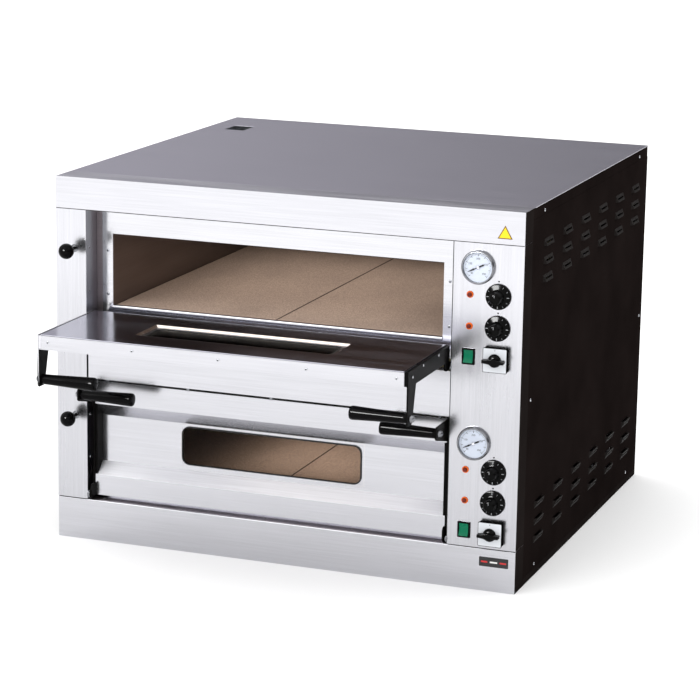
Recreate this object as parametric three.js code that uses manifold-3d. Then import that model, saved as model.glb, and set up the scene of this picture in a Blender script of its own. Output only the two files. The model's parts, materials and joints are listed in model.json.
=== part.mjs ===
// Two-deck electric countertop pizza oven.
// Millimetres, +Z up, the front faces -Y, and the origin is the centre of the casing's footprint.
import * as THREE from 'three';
import Module from 'manifold-3d';
import { mergeVertices } from 'three/addons/utils/BufferGeometryUtils.js';

const wasm = await Module();
wasm.setup();

// ---------------------------------------------------------------- driving dimensions

const WIDTH = 980;
const DEPTH = 930;
const HEIGHT = 750;
const GAP = 0.3; // clearance kept between pieces that touch
const SHEET = 1.2; // stainless fascia sheet
const PANEL = 1.5; // painted casing sheet

const BOTTOM_BAND = 86; // height of the front band below the lower deck
const DECK_PITCH = 345; // from one deck to the next
const RECESS_HEIGHT = 255; // height of the recess that a door closes
const DECK_BASES = { lower: BOTTOM_BAND, upper: BOTTOM_BAND + DECK_PITCH };

const STILE_RIGHT = -424; // inner edge of the left stile
const COLUMN_LEFT = 350.5; // inner edge of the control column
const RETURN_DEPTH = 53; // how far the fascia wraps round the casing's sides
const JAMB_DEPTH = 65; // how far the recess goes back
const LEDGE_DEPTH = 23; // sill in front of a door's hinge slot
const TOP_FLANGE = 65; // how far the top band wraps over the top

const OPENING = { left: -388, right: 315, bottom: 55, top: 201 }; // heights above the deck base
const FRAME_SETBACK = 50; // chamber frame behind the fascia
const LINER_DEPTH = 713;
const LINER_SHEET = 2;
const LINER_FLOOR = 12;
const STONE_TOP = 53;
const STONE_THICK = 14;

const PIVOT = { setback: 6, height: 10 }; // door hinge axis behind the fascia, above the deck base
const DOOR = { left: -416.5, right: 343.5, outer: 9, inner: 39, bottom: -3, top: 236.5 };
const PANEL_RECESS = 25; // depth of the door's middle panel behind its bands
const WINDOW = { halfWidth: 193, bottom: 76, top: 155, radius: 16 };
const LIP_SWEEP = Math.PI / 3; // arc of the roll lip at the door's foot
const GRIP = { out: -53, height: 222, length: 115, root: 9.5, end: 13.5 };

const DIAL = { x: 400, height: 208, radius: 33 };
const KNOB_X = 441;
const KNOB_HEIGHTS = { top: 154, bottom: 92.5 };
const LAMP_X = 384.5;
const SWITCH_HEIGHT = 32.5;
const CAM_SIZE = 48;
const VENT = { x: -449, height: 175, proud: 37, radius: 15.5, travelFront: 200 };
const FLUE = { left: -441, right: -393, front: 225, outletFront: 274, back: 340 };

const front = -DEPTH / 2;
const back = DEPTH / 2;
const side = WIDTH / 2;
const doorCentre = (DOOR.left + DOOR.right) / 2;
const pivotY = front + PIVOT.setback;

// ---------------------------------------------------------------- materials

const finish = (color, roughness, metalness) =>
  new THREE.MeshStandardMaterial({ color, roughness, metalness });

const stainless = finish(0xd6d6da, 0.3, 0.9);
const satinTop = finish(0x928f96, 0.5, 0.7);
const blackPaint = finish(0x191615, 0.45, 0.2);
const linerSteel = finish(0x4b3f3c, 0.5, 0.6);
const stone = finish(0xa99a8a, 0.9, 0);
const zinc = finish(0xa8abad, 0.45, 0.8);
const glass = finish(0x18120e, 0.08, 0.1);
const blackPlastic = finish(0x121212, 0.35, 0);
const chrome = finish(0xe4e6e8, 0.12, 1);
const orange = finish(0xd2480f, 0.25, 0);
const green = finish(0x00835f, 0.3, 0);
const palePlate = finish(0xd8dadd, 0.4, 0.4);
const wool = finish(0xcfc6a8, 1, 0);
const elementSteel = finish(0x3a3634, 0.5, 0.8);

// ---------------------------------------------------------------- geometry helpers

const oven = new THREE.Group();

function add(name, geometry, material, parent = oven) {
  const mesh = new THREE.Mesh(geometry, material);
  mesh.name = name;
  parent.add(mesh);
  return mesh;
}

function toSolid(geometry) {
  const bare = geometry.clone();
  bare.deleteAttribute('normal');
  bare.deleteAttribute('uv');
  const merged = mergeVertices(bare, 1e-4);
  return new wasm.Manifold(new wasm.Mesh({
    numProp: 3,
    vertProperties: new Float32Array(merged.attributes.position.array),
    triVerts: new Uint32Array(merged.index.array),
  }));
}

function toGeometry(solid) {
  const mesh = solid.getMesh();
  const geometry = new THREE.BufferGeometry();
  geometry.setAttribute('position', new THREE.BufferAttribute(mesh.vertProperties, 3));
  geometry.setIndex(new THREE.BufferAttribute(mesh.triVerts, 1));
  return geometry;
}

const join = (...pieces) => toGeometry(pieces.map(toSolid).reduce((a, b) => a.add(b)));

function cut(body, ...tools) {
  return toGeometry(tools.reduce((solid, tool) => solid.subtract(toSolid(tool)), toSolid(body)));
}

function box(x0, x1, y0, y1, z0, z1) {
  const geometry = new THREE.BoxGeometry(x1 - x0, y1 - y0, z1 - z0);
  return geometry.translate((x0 + x1) / 2, (y0 + y1) / 2, (z0 + z1) / 2);
}

const polygon = (points) => new THREE.Shape(points.map(([a, b]) => new THREE.Vector2(a, b)));

function extrude(shape, depth, curveSegments = 4) {
  return new THREE.ExtrudeGeometry(shape, { depth, bevelEnabled: false, curveSegments });
}

// A shape drawn in (y, z), extruded from x0 to x1.
function alongX(shape, x0, x1, curveSegments) {
  const geometry = extrude(shape, x1 - x0, curveSegments);
  const axes = new THREE.Matrix4().makeBasis(
    new THREE.Vector3(0, 1, 0), new THREE.Vector3(0, 0, 1), new THREE.Vector3(1, 0, 0));
  return geometry.applyMatrix4(axes).translate(x0, 0, 0);
}

// A shape drawn in (x, z), extruded from y0 to y1.
function alongY(shape, y0, y1, curveSegments) {
  const geometry = extrude(shape, y1 - y0, curveSegments);
  return geometry.rotateX(Math.PI / 2).translate(0, y1, 0);
}

function roundedRect(cx, cz, halfW, halfH, r) {
  const shape = new THREE.Shape();
  shape.moveTo(cx - halfW + r, cz - halfH);
  shape.absarc(cx + halfW - r, cz - halfH + r, r, -Math.PI / 2, 0);
  shape.absarc(cx + halfW - r, cz + halfH - r, r, 0, Math.PI / 2);
  shape.absarc(cx - halfW + r, cz + halfH - r, r, Math.PI / 2, Math.PI);
  shape.absarc(cx - halfW + r, cz - halfH + r, r, Math.PI, Math.PI * 1.5);
  return shape;
}

// A cylinder along Y or X, from a to b.
function rodY(x, z, radius, a, b, sides = 16) {
  const geometry = new THREE.CylinderGeometry(radius, radius, b - a, sides);
  return geometry.translate(x, (a + b) / 2, z);
}

function rodX(y, z, radius, a, b, sides = 12) {
  const geometry = new THREE.CylinderGeometry(radius, radius, b - a, sides);
  return geometry.rotateZ(Math.PI / 2).translate((a + b) / 2, y, z);
}

// A body of revolution about a line along Y; the profile is a list of [radius, y], either way round.
function turnedY(profile, x, z, sides = 24) {
  const points = profile.map(([r, y]) => new THREE.Vector2(r, y));
  if (points[0].y > points.at(-1).y) points.reverse();
  return new THREE.LatheGeometry(points, sides).translate(x, 0, z);
}

// ---------------------------------------------------------------- casing

function basePan() {
  const rail = 14;
  const frontEdge = front + RETURN_DEPTH + GAP;
  const tray = cut(
    box(-side, side, frontEdge, back, 0, rail),
    box(-side + PANEL, side - PANEL, frontEdge - 1, back - PANEL, PANEL, rail + 1));
  const tongue = box(
    -side + SHEET + GAP, side - SHEET - GAP, front + SHEET + GAP, frontEdge + 1, 0, PANEL);
  return join(tray, tongue);
}

// Pressed louvre: a slot with a scoop outside it, open towards `mouth` (-1 down, +1 up).
const LOUVRE = { length: 60, height: 14, proud: 6, columns: 6, rows: 3, pitchY: 134, pitchZ: 35.5 };
const LOUVRE_GROUPS = [
  { frontY: -307, topZ: 671, mouth: -1 },
  { frontY: -317, topZ: 148, mouth: 1 },
];

function louvreCentres() {
  const centres = [];
  for (const { frontY, topZ, mouth } of LOUVRE_GROUPS) {
    for (let column = 0; column < LOUVRE.columns; column += 1) {
      for (let row = 0; row < LOUVRE.rows; row += 1) {
        const y = frontY + column * LOUVRE.pitchY;
        centres.push({ y, z: topZ - row * LOUVRE.pitchZ, mouth });
      }
    }
  }
  return centres;
}

function scoop(y, z, mouth, skin) {
  const { length, height, proud } = LOUVRE;
  const far = z - mouth * height / 2;
  const near = z + mouth * height / 2;
  const hood = new THREE.BufferGeometry();
  const half = length / 2;
  const inner = half - proud;
  // The scoop is a wedge: flush at its far edge, `proud` at its mouth, with slanting ends.
  const base = skin - PANEL / 2;
  const lift = skin + proud;
  const corners = [
    [base, y - half, far], [base, y + half, far], [base, y + half, near], [base, y - half, near],
    [lift, y - inner, near], [lift, y + inner, near],
    [skin + 0.5, y - half, far], [skin + 0.5, y + half, far],
  ];
  hood.setAttribute('position', new THREE.BufferAttribute(new Float32Array(corners.flat()), 3));
  const faces = [
    0, 2, 1, 0, 3, 2, // against the panel
    3, 4, 5, 3, 5, 2, // mouth side
    6, 7, 5, 6, 5, 4, // roof
    0, 1, 7, 0, 7, 6, // far edge
    0, 6, 4, 0, 4, 3, // front end
    1, 2, 5, 1, 5, 7, // rear end
  ];
  hood.setIndex(mouth < 0 ? faces.reverse() : faces);
  return hood;
}

function sidePanel() {
  const bottom = 14 + GAP;
  const top = HEIGHT - SHEET - GAP;
  const frontEdge = front + RETURN_DEPTH + GAP;
  const foldZ = 726;
  const outer = side;
  let solid = toSolid(join(
    box(outer - PANEL, outer, frontEdge, back, bottom, foldZ),
    box(outer - PANEL - 0.8, outer - 0.8, frontEdge, back, foldZ - 1, top)));
  for (const { y, z, mouth } of louvreCentres()) {
    solid = solid.add(toSolid(scoop(y, z, mouth, outer)));
    const slotHalf = LOUVRE.length / 2 - LOUVRE.proud - 2;
    const mouthZ = z + mouth * LOUVRE.height / 2;
    const slot = box(
      outer - PANEL - 1, outer + LOUVRE.proud - 2, y - slotHalf, y + slotHalf,
      Math.min(mouthZ + mouth, mouthZ - mouth * 8), Math.max(mouthZ + mouth, mouthZ - mouth * 8));
    solid = solid.subtract(toSolid(slot));
  }
  return toGeometry(solid);
}

function mirrorX(geometry) {
  const mirrored = geometry.clone().scale(-1, 1, 1);
  mirrored.setIndex(Array.from(mirrored.index.array).reverse());
  return mirrored;
}

function topCover() {
  const cover = box(
    -side, side, front + TOP_FLANGE + GAP, back, HEIGHT - SHEET, HEIGHT);
  const outlet = box(
    FLUE.left + 1, FLUE.right - 1, FLUE.outletFront + 1, FLUE.back - 1, 0, HEIGHT + 1);
  return cut(cover, outlet);
}

const GLAND = { x: 430, z: 55, hole: 10.5 };

function rearPanel() {
  const sheet = box(
    -side + PANEL + GAP + 0.8, side - PANEL - GAP - 0.8,
    back - 2 * PANEL - GAP, back - PANEL - GAP, PANEL + GAP, HEIGHT - SHEET - GAP);
  const slots = [];
  for (let i = 0; i < 8; i += 1) {
    const z = 560 + i * 16;
    slots.push(box(370, 450, back - 10, back + 10, z, z + 6));
  }
  return cut(sheet, ...slots, rodY(GLAND.x, GLAND.z, GLAND.hole, back - 10, back + 10));
}

function topBand() {
  const z0 = HEIGHT - 64;
  const tray = cut(
    box(-side, side, front, front + RETURN_DEPTH, z0, HEIGHT),
    box(-side + SHEET, side - SHEET, front + SHEET, front + RETURN_DEPTH + 1, z0 + SHEET,
      HEIGHT - SHEET),
    box(-side + SHEET, side - SHEET, front + FRAME_SETBACK - 1, front + RETURN_DEPTH + 1, z0 - 1,
      z0 + SHEET + 1));
  const flange = box(-side, side, front + RETURN_DEPTH - 1, front + TOP_FLANGE, HEIGHT - SHEET,
    HEIGHT);
  return join(tray, flange);
}

function bottomBand() {
  const bead = 4;
  const steps = 4;
  const outline = [[front, 0], [front + RETURN_DEPTH, 0], [front + RETURN_DEPTH, BOTTOM_BAND]];
  for (let i = 0; i <= steps; i += 1) {
    const angle = (Math.PI / 2) * (1 + i / steps);
    outline.push([
      front + bead + bead * Math.cos(angle), BOTTOM_BAND - bead + bead * Math.sin(angle)]);
  }
  const inside = side - SHEET;
  return cut(
    alongX(polygon(outline), -side, side),
    box(-inside, inside, front + SHEET, back, -1, BOTTOM_BAND - bead),
    box(-inside, inside, front + bead, back, -2, BOTTOM_BAND - SHEET),
    box(-inside, inside, front + LEDGE_DEPTH, back, -3, BOTTOM_BAND + 1));
}

// An upright of the fascia: a front sheet, a return round the casing's side and a jamb.
function upright(x0, x1, jambOnRight) {
  const z0 = BOTTOM_BAND + GAP;
  const z1 = HEIGHT - 64 - GAP;
  const [outerX, jambX] = jambOnRight ? [x0, x1 - SHEET] : [x1 - SHEET, x0];
  return join(
    box(x0, x1, front, front + SHEET, z0, z1),
    box(outerX, outerX + SHEET, front, front + RETURN_DEPTH, z0, z1),
    box(jambX, jambX + SHEET, front, front + JAMB_DEPTH, z0, z1));
}

function leftStile() {
  const holes = Object.values(DECK_BASES).flatMap((base) => [
    rodY(VENT.x, base + VENT.height, 4, front - 5, front + 5, 12),
    rodX(pivotY, base + PIVOT.height, 4.6, STILE_RIGHT - 5, STILE_RIGHT + 5),
  ]);
  return cut(upright(-side, STILE_RIGHT, true), ...holes);
}

function controlPanel() {
  const holes = Object.values(DECK_BASES).flatMap((base) => {
    const through = (x, h, r) => rodY(x, base + h, r, front - 5, front + 5);
    const z = base + SWITCH_HEIGHT;
    return [
      through(DIAL.x, DIAL.height, 29),
      ...Object.values(KNOB_HEIGHTS).flatMap((h) => [through(KNOB_X, h, 5), through(LAMP_X, h, 5.5)]),
      through(KNOB_X, SWITCH_HEIGHT, 11),
      box(LAMP_X - 11, LAMP_X + 11, front - 5, front + 5, z - 14.5, z + 14.5),
      rodX(pivotY, base + PIVOT.height, 4.6, COLUMN_LEFT - 5, COLUMN_LEFT + 5),
    ];
  });
  return cut(upright(COLUMN_LEFT, side, false), ...holes);
}

function middleFascia() {
  const z0 = BOTTOM_BAND + RECESS_HEIGHT;
  const z1 = DECK_BASES.upper;
  const x0 = STILE_RIGHT + 4;
  const x1 = COLUMN_LEFT - 1.5;
  return join(
    box(x0, x1, front, front + SHEET, z0, z1),
    box(x0, x1, front, front + LEDGE_DEPTH, z1 - SHEET, z1),
    box(x0, x1, front, front + FRAME_SETBACK - 2, z0, z0 + SHEET));
}

add('base_pan', basePan(), zinc);
const rightPanel = sidePanel();
add('side_panel_right', rightPanel, blackPaint);
add('side_panel_left', mirrorX(rightPanel), blackPaint);
add('top_cover', topCover(), satinTop);
add('rear_panel', rearPanel(), zinc);
add('front_top_band', topBand(), stainless);
add('front_bottom_band', bottomBand(), stainless);
add('left_stile', leftStile(), stainless);
add('control_panel', controlPanel(), stainless);
add('middle_fascia', middleFascia(), stainless);

// ---------------------------------------------------------------- baking chambers

function chamberFrame(base) {
  const y0 = front + FRAME_SETBACK;
  const plate = box(
    STILE_RIGHT + 13, COLUMN_LEFT - 12.5, y0, y0 + SHEET, base + 13, base + RECESS_HEIGHT - 5);
  const hole = box(
    OPENING.left, OPENING.right, y0 - 1, y0 + SHEET + 1, base + OPENING.bottom, base + OPENING.top);
  const lip = rodX(
    y0 + 0.2, base + OPENING.bottom - 4, 4.6, OPENING.left, OPENING.right, 16);
  const behindLip = box(OPENING.left - 1, OPENING.right + 1, y0 + SHEET, y0 + 10,
    base + OPENING.bottom - 20, base + OPENING.bottom + 10);
  return cut(join(cut(plate, hole), lip), behindLip);
}

const linerFront = front + FRAME_SETBACK + SHEET + GAP;
const linerBack = front + FRAME_SETBACK + SHEET + LINER_DEPTH;
const ventPort = { front: FLUE.front + 6, back: FLUE.front + 66, bottom: 152, top: 188 };

function chamberLiner(base) {
  const t = LINER_SHEET;
  const { left, right } = OPENING;
  const shell = cut(
    box(left - t, right + t, linerFront, linerBack, base + LINER_FLOOR - t, base + OPENING.top + t),
    box(left, right, linerFront - 1, linerBack - t, base + LINER_FLOOR, base + OPENING.top),
    box(left - t - 1, left + 1, ventPort.front, ventPort.back, base + ventPort.bottom,
      base + ventPort.top),
    ...elementEnds(base).map(([y, z]) => rodX(y, z, 5, right - 1, right + t + 1, 12)));
  const railTop = base + STONE_TOP - STONE_THICK - GAP;
  const rails = [
    box(left - 1, left + 10, linerFront + 8, linerBack - 1, railTop - 3, railTop),
    box(right - 10, right + 1, linerFront + 8, linerBack - 1, railTop - 3, railTop),
    box(doorCentre - 6, doorCentre + 6, linerFront + 8, linerBack - 1, railTop - 3, railTop),
    box(doorCentre - 1, doorCentre + 1, linerFront + 8, linerFront + 28, base + LINER_FLOOR - 1,
      railTop - 1),
  ];
  return join(shell, ...rails);
}

function bakingStone(base, isLeft) {
  const x0 = isLeft ? OPENING.left + 1.5 : doorCentre + 0.7;
  const x1 = isLeft ? doorCentre - 0.7 : OPENING.right - 1.5;
  const top = base + STONE_TOP;
  const outline = roundedRect((x0 + x1) / 2, (linerFront + linerBack) / 2,
    (x1 - x0) / 2, (linerBack - linerFront) / 2 - 6, 2);
  return extrude(outline, STONE_THICK, 2).translate(0, 0, top - STONE_THICK);
}

// Tubular heater: four runs along X joined by three half circles, both ends through the right wall.
const ELEMENT = { radius: 4, front: -330, pitch: 185, left: -255, right: 190, end: 326 };
const ELEMENT_HEIGHTS = { bottom: 24, top: 190 };

function elementEnds(base) {
  return Object.values(ELEMENT_HEIGHTS).flatMap((height) => [
    [ELEMENT.front, base + height],
    [ELEMENT.front + 3 * ELEMENT.pitch, base + height],
  ]);
}

class HalfCircle extends THREE.Curve {
  constructor(x, y, radius, turn) {
    super();
    Object.assign(this, { x, y, radius, turn });
  }

  getPoint(t, target = new THREE.Vector3()) {
    const angle = -Math.PI / 2 + this.turn * Math.PI * t;
    return target.set(
      this.x + this.radius * Math.cos(angle), this.y + this.radius * Math.sin(angle), 0);
  }
}

function heatingElement(z) {
  const { front: y0, pitch, left, right, end } = ELEMENT;
  const radius = pitch / 2;
  const path = new THREE.CurvePath();
  const at = (x, run) => new THREE.Vector3(x, y0 + run * pitch, 0);
  path.add(new THREE.LineCurve3(at(end, 0), at(left, 0)));
  path.add(new HalfCircle(left, y0 + radius, radius, -1));
  path.add(new THREE.LineCurve3(at(left, 1), at(right, 1)));
  path.add(new HalfCircle(right, y0 + radius + pitch, radius, 1));
  path.add(new THREE.LineCurve3(at(right, 2), at(left, 2)));
  path.add(new HalfCircle(left, y0 + radius + 2 * pitch, radius, -1));
  path.add(new THREE.LineCurve3(at(left, 3), at(end, 3)));
  const section = new THREE.Shape().absarc(0, 0, ELEMENT.radius, 0, Math.PI * 2);
  const tube = new THREE.ExtrudeGeometry(section, {
    extrudePath: path, steps: 50, curveSegments: 3, bevelEnabled: false,
  });
  return tube.translate(0, 0, z);
}

// Mineral wool round both chambers, with an air gap between the decks.
function insulation() {
  const thick = 55;
  const x0 = OPENING.left - LINER_SHEET - 2;
  const x1 = OPENING.right + 30;
  const wool = box(
    x0, x1, front + JAMB_DEPTH + 2, linerBack + 45,
    DECK_BASES.lower + LINER_FLOOR - thick, DECK_BASES.upper + OPENING.top + thick);
  const airGap = box(x0 - 1, x1 + 1, front, linerBack + GAP, 330, 400);
  const pockets = Object.values(DECK_BASES).flatMap((base) => [
    box(x0 - 1, OPENING.right + LINER_SHEET + GAP, front, linerBack + GAP,
      base + LINER_FLOOR - LINER_SHEET - GAP, base + OPENING.top + LINER_SHEET + GAP),
    ...elementEnds(base).map(([y, z]) => box(OPENING.right, x1 + 1, y - 8, y + 8, z - 8, z + 8)),
  ]);
  return cut(wool, airGap, ...pockets);
}

for (const [deck, base] of Object.entries(DECK_BASES)) {
  add(`${deck}_chamber_frame`, chamberFrame(base), stainless);
  add(`${deck}_chamber_liner`, chamberLiner(base), linerSteel);
  add(`${deck}_left_stone`, bakingStone(base, true), stone);
  add(`${deck}_right_stone`, bakingStone(base, false), stone);
  for (const [place, height] of Object.entries(ELEMENT_HEIGHTS)) {
    add(`${deck}_${place}_element`, heatingElement(base + height), elementSteel);
  }
}
add('chamber_insulation', insulation(), wool);

// Square duct with a closed foot; its open top meets the cover, whose cut-out is the outlet.
function flueDuct() {
  const wall = 1;
  const { left, right } = FLUE;
  const z0 = DECK_BASES.lower + LINER_FLOOR;
  return cut(
    box(left, right, FLUE.front, FLUE.back, z0, HEIGHT - SHEET - GAP),
    box(left + wall, right - wall, FLUE.front + wall, FLUE.back - wall, z0 + wall, HEIGHT),
    ...Object.values(DECK_BASES).map((base) => box(right - 2, right + 1, ventPort.front,
      ventPort.back, base + ventPort.bottom, base + ventPort.top)));
}

add('flue_duct', flueDuct(), zinc);

// Vent slide: a ball knob on a long rod that draws a damper plate across the chamber's vent port.
function ventSlide(base) {
  const z = base + VENT.height;
  const ballY = front - VENT.proud;
  const ball = new THREE.SphereGeometry(VENT.radius, 16, 12).translate(VENT.x, ballY, z);
  const collar = rodY(VENT.x, z, 5.5, ballY, ballY + VENT.radius + 4, 12);
  const rod = rodY(VENT.x, z, 3, ballY, VENT.travelFront, 8);
  const arm = box(VENT.x - 3, -391.2, VENT.travelFront - 8, VENT.travelFront, z - 4, z + 4);
  const plate = box(-392.1, -390.9, VENT.travelFront - 8, ventPort.back + 3,
    base + ventPort.bottom - 2, base + ventPort.top + 2);
  return join(ball, collar, rod, arm, plate);
}

for (const [deck, base] of Object.entries(DECK_BASES)) {
  add(`${deck}_vent_slide`, ventSlide(base), blackPlastic);
}

// ---------------------------------------------------------------- doors, drawn closed about the hinge axis

// Outer skin: two flat bands with slanting shoulders down to a recessed middle panel.
function doorOuterSkin() {
  const { outer, inner, bottom, top } = DOOR;
  const panel = outer + PANEL_RECESS;
  const line = [
    [inner - 2, bottom], [outer, bottom], [outer, 40], [panel, 64],
    [panel, 161], [outer, 189], [outer, top], [inner - 2, top],
  ];
  const t = SHEET;
  const innerLine = [
    [inner - 2, bottom + t], [outer + t, bottom + t], [outer + t, 39.5], [panel + t, 63.5],
    [panel + t, 161.5], [outer + t, 189.5], [outer + t, top - t], [inner - 2, top - t],
  ];
  const skin = alongX(polygon([...line, ...innerLine.reverse()]), DOOR.left + 3.5, DOOR.right - 3.5);
  const middle = (WINDOW.bottom + WINDOW.top) / 2;
  const height = (WINDOW.top - WINDOW.bottom) / 2;
  const hole = roundedRect(doorCentre, middle, WINDOW.halfWidth, height, WINDOW.radius);
  const cheekRoom = [DOOR.left, DOOR.right - 8.3].map((x) =>
    box(x, x + 8.3, outer + t, inner + 1, bottom - 1, top + 1));
  return cut(skin, alongY(hole, outer, inner), ...cheekRoom);
}

// Inner skin: a flat sheet with the window frame's opening and a lip rolled about the hinge axis.
function doorInnerSkin() {
  const r = DOOR.inner;
  const t = SHEET;
  const profile = new THREE.Shape();
  profile.moveTo(r, DOOR.top);
  profile.lineTo(r - t, DOOR.top);
  profile.lineTo(r - t, 0);
  profile.absarc(0, 0, r - t, 0, -LIP_SWEEP, true);
  profile.lineTo(r * Math.cos(LIP_SWEEP), -r * Math.sin(LIP_SWEEP));
  profile.absarc(0, 0, r, -LIP_SWEEP, 0);
  const skin = alongX(profile, DOOR.left + 8.5, DOOR.right - 8.5, 10);
  const middle = (WINDOW.bottom + WINDOW.top) / 2;
  const hole = roundedRect(doorCentre, middle, WINDOW.halfWidth + 12,
    (WINDOW.top - WINDOW.bottom) / 2 + 10, 6);
  return cut(skin, alongY(hole, r - 5, r + 5));
}

function doorGlass() {
  const middle = (WINDOW.bottom + WINDOW.top) / 2;
  const pane = roundedRect(doorCentre, middle, WINDOW.halfWidth + 9,
    (WINDOW.top - WINDOW.bottom) / 2 + 7, 5);
  const face = DOOR.outer + PANEL_RECESS + SHEET + GAP;
  return alongY(pane, face, face + 3);
}

// Left cheek: black end plate with the grip's arm, a hinge lobe and its stud, and a filler block.
function doorCheek() {
  const x0 = DOOR.left;
  const x1 = x0 + 3;
  const { out, height } = GRIP;
  const plate = box(x0, x1, DOOR.outer - 1.5, DOOR.inner - 1, DOOR.bottom, DOOR.top);
  const block = box(x1 - 1, x0 + 8, DOOR.outer + SHEET + GAP, DOOR.inner - SHEET - 1,
    DOOR.bottom + 0.5, DOOR.top - 0.5);
  const tip = out - 13;
  const arm = polygon([
    [DOOR.outer, DOOR.top], [tip + 4, DOOR.top], [tip, DOOR.top - 4], [tip, height - 8],
    [tip + 4, height - 12], [DOOR.outer, DOOR.top - 45],
  ]);
  const lobe = new THREE.Shape();
  lobe.absarc(0, 13, 9.3, 0, Math.PI);
  lobe.absarc(0, 0, 9.3, Math.PI, Math.PI * 2);
  const body = join(plate, block, alongX(arm, x0, x1), alongX(lobe, x0, x1, 8),
    box(x0, x1, 0, DOOR.outer, 5, 22), rodX(0, 0, 4, x0 - 14, x1));
  return cut(body, rodX(out, height, 4.3, x0 - 2, x1 + 2, 16));
}

// Left grip: a stud through the arm, a domed nut outside it and a club-shaped handle inside it.
function doorGrip() {
  const face = DOOR.left + 3 + GAP;
  const length = GRIP.length;
  const { root, end } = GRIP;
  const profile = [
    [0, -12], [3.5, -11.4], [6.2, -9], [7.4, -5.5], [7.4, -3 - 2 * GAP],
    [4, -3 - 2 * GAP], [4, 0], [root - 1, 0], [root, 1.5], [root + 0.6, 20],
    [end - 0.6, length - 14], [end, length - 6], [end, length - 2.5], [end - 2.5, length], [0, length],
  ];
  const points = profile.map(([r, along]) => new THREE.Vector2(r, along));
  const turned = new THREE.LatheGeometry(points, 16);
  return turned.rotateZ(-Math.PI / 2).translate(face, GRIP.out, GRIP.height);
}

const mirrorDoor = (geometry) => mirrorX(geometry).translate(2 * doorCentre, 0, 0);

for (const [deck, base] of Object.entries(DECK_BASES)) {
  const door = new THREE.Group();
  door.position.set(0, pivotY, base + PIVOT.height);
  // The upper door stands open on its stop, the lower one is shut.
  door.rotation.x = deck === 'upper' ? Math.PI / 2 : 0;
  add(`${deck}_door_outer_skin`, doorOuterSkin(), stainless, door);
  add(`${deck}_door_inner_skin`, doorInnerSkin(), stainless, door);
  add(`${deck}_door_glass`, doorGlass(), glass, door);
  add(`${deck}_door_left_cheek`, doorCheek(), blackPaint, door);
  add(`${deck}_door_right_cheek`, mirrorDoor(doorCheek()), blackPaint, door);
  add(`${deck}_door_left_grip`, doorGrip(), blackPlastic, door);
  add(`${deck}_door_right_grip`, mirrorDoor(doorGrip()), blackPlastic, door);
  oven.add(door);
}

// ---------------------------------------------------------------- controls

function dialCase(x, z) {
  const r = DIAL.radius;
  return turnedY([
    [0, front + 26], [28, front + 26], [28, front - GAP], [r, front - GAP], [r, front - 5],
    [r - 2, front - 9], [r - 4.5, front - 9], [r - 5, front - 4], [0, front - 4],
  ], x, z, 30);
}

// Pointer of the dial, from its tail to its tip.
function dialNeedle(x, z) {
  const blade = polygon([[-12, -1.8], [5, -1.8], [21, -0.6], [21, 0.6], [5, 1.8], [-12, 1.8]]);
  const y0 = front - 6.6;
  const flat = alongY(blade, y0, y0 + 1);
  const hub = rodY(0, 0, 3.2, y0 - 0.8, y0 + 1.8, 16);
  const restAngle = THREE.MathUtils.degToRad(206);
  return join(flat, hub).rotateY(-restAngle).translate(x, 0, z);
}

// Thermostat knob: a thin skirt that carries the scale and a round hub to grip.
function thermostatKnob(x, z) {
  const y0 = front - 1;
  const body = turnedY([
    [0, y0], [25, y0], [25, y0 - 3], [23.5, y0 - 5], [14, y0 - 7], [12.5, y0 - 10],
    [11.2, y0 - 26], [9.5, y0 - 28], [0, y0 - 28],
  ], 0, 0, 24);
  const shaft = rodY(0, 0, 3, y0 - 1, front + 14, 12);
  return join(body, shaft).translate(x, 0, z);
}

function indicatorLamp(x, z) {
  const y0 = front - GAP;
  return turnedY([
    [0, front + 22], [5, front + 22], [5, y0], [6.8, y0], [6.8, y0 - 1.5], [5.6, y0 - 4],
    [3.2, y0 - 6], [0, y0 - 6.8],
  ], x, z, 14);
}

// Rocker with a hollowed face, tipped so that its upper half is pressed in.
function rockerKey(x, z) {
  const profile = new THREE.Shape();
  profile.moveTo(10, -8);
  profile.lineTo(10, 8);
  profile.lineTo(-5.5, 12.6);
  profile.quadraticCurveTo(-1.5, 0, -5.5, -12.6);
  profile.lineTo(10, -8);
  const key = alongX(profile, -9.3, 9.3, 8);
  return key.rotateX(THREE.MathUtils.degToRad(-7)).translate(x, front, z);
}

function camPlate(x, z) {
  const half = CAM_SIZE / 2;
  const y0 = front - 14;
  return cut(
    join(
      alongY(roundedRect(x, z, half, half, 2), y0, front - GAP),
      rodY(x, z, 10.5, front - 1, front + 4),
      box(x - 21, x + 21, front + 2, front + 48, z - 21, z + 21)),
    rodY(x, z, 4, y0 - 1, front + 20, 16));
}

function camLever(x, z) {
  const y0 = front - 14 - GAP;
  const hub = turnedY([[0, y0], [15, y0], [15, y0 - 3], [12, y0 - 6], [0, y0 - 6]], 0, 0, 20);
  const wing = alongY(roundedRect(0, 0, 22.5, 6, 5.5), y0 - 17, y0 - 5);
  return join(hub, wing, rodY(0, 0, 3.5, y0 - 1, front + 14, 12)).translate(x, 0, z);
}

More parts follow.
